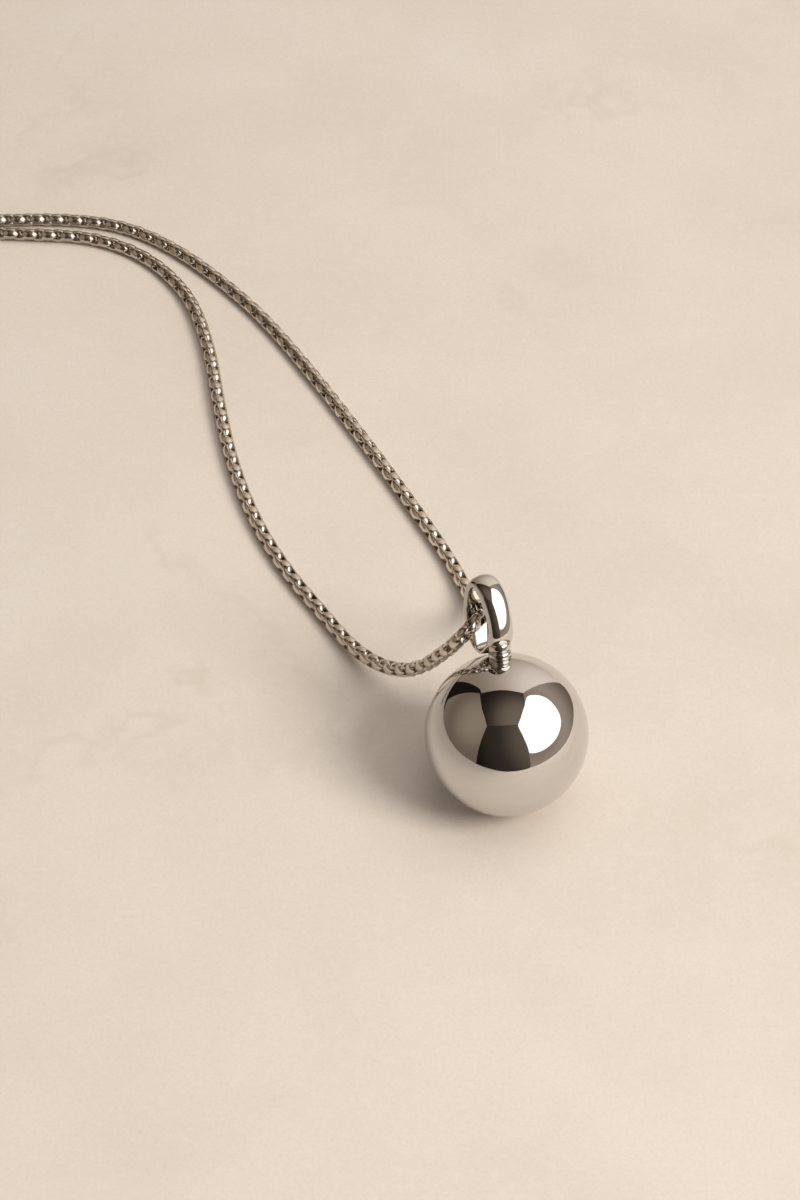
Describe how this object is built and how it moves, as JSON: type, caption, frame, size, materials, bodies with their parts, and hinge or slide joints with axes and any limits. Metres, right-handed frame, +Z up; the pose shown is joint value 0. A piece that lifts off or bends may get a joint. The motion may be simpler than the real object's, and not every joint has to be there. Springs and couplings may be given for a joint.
{
  "type": "pendant necklace",
  "caption": "Polished ball pendant on a swivel peg under a leaf-shaped bail, threaded on a rounded box chain that closes with a lobster clasp.",
  "frame": {"origin": "On the surface that the necklace lies on, under the middle of the pendant's box.", "axes": "+Z up, +X to the right and +Y away, as seen from the pendant's front. The pendant stands on its ball and leans back along +Y."},
  "size_m": [0.0962, 0.0998, 0.0228],
  "materials": {
    "polished_ball": "mirror polished, warm silver tone",
    "polished_bail": "mirror polished, warm silver tone",
    "polished_fitting": "polished, warm silver tone",
    "chain_metal": "bright polished links, warm silver tone",
    "clasp_metal": "polished cast metal, warm silver tone",
    "spring_steel": "plain drawn steel"
  },
  "bodies": {
    "chain": {"chain_front_strand": "chain_metal", "chain_rear_strand": "chain_metal", "chain_coil": "chain_metal", "chain_front_tail": "chain_metal", "chain_rear_tail": "chain_metal", "front_end_cap": "polished_fitting", "rear_end_cap": "polished_fitting"},
    "bail": {"bail_loop": "polished_bail", "collar_ring": "polished_fitting", "swivel_peg": "polished_fitting", "peg_washer": "polished_fitting"},
    "ball": {"ball_upper_shell": "polished_ball", "ball_lower_shell": "polished_ball", "peg_bush": "polished_fitting"},
    "end_ring_body": {"end_ring": "polished_fitting"},
    "jump_ring_body": {"clasp_jump_ring": "polished_fitting"},
    "clasp": {"clasp_body": "clasp_metal", "clasp_rivet": "spring_steel", "clasp_spring": "spring_steel"},
    "lever": {"clasp_lever": "clasp_metal"}
  },
  "joints": [
    {"name": "pendant_swing", "type": "hinge", "parent": "chain", "child": "bail", "pos_m": [-0.0025, 0.0071, 0.019], "axis": [-0.5935, -0.7636, -0.2542], "range_deg": [0, 25]},
    {"name": "ball_swivel", "type": "hinge", "parent": "bail", "child": "ball", "pos_m": [-0.00081, 0.00386, 0.01685], "axis": [-0.0849, 0.4695, 0.8788], "continuous": true},
    {"name": "end_ring_swing", "type": "hinge", "parent": "chain", "child": "end_ring_body", "pos_m": [-0.0855, 0.06225, 0.00105], "axis": [-1, 0, 0], "range_deg": [0, 100]},
    {"name": "clasp_ring_swing", "type": "hinge", "parent": "chain", "child": "jump_ring_body", "pos_m": [-0.069, 0.06175, 0.00105], "axis": [0, 0, 1], "range_deg": [-60, 60]},
    {"name": "clasp_swing", "type": "hinge", "parent": "jump_ring_body", "child": "clasp", "pos_m": [-0.069, 0.05915, 0.00105], "axis": [0, 0, 1], "range_deg": [-60, 60]},
    {"name": "clasp_lever_pivot", "type": "hinge", "parent": "clasp", "child": "lever", "pos_m": [-0.06785, 0.05615, 0.001], "axis": [0, 0, -1], "range_deg": [0, 25], "stiffness_Nm_per_rad": 0.0002, "springref_deg": -17.19}
  ]
}
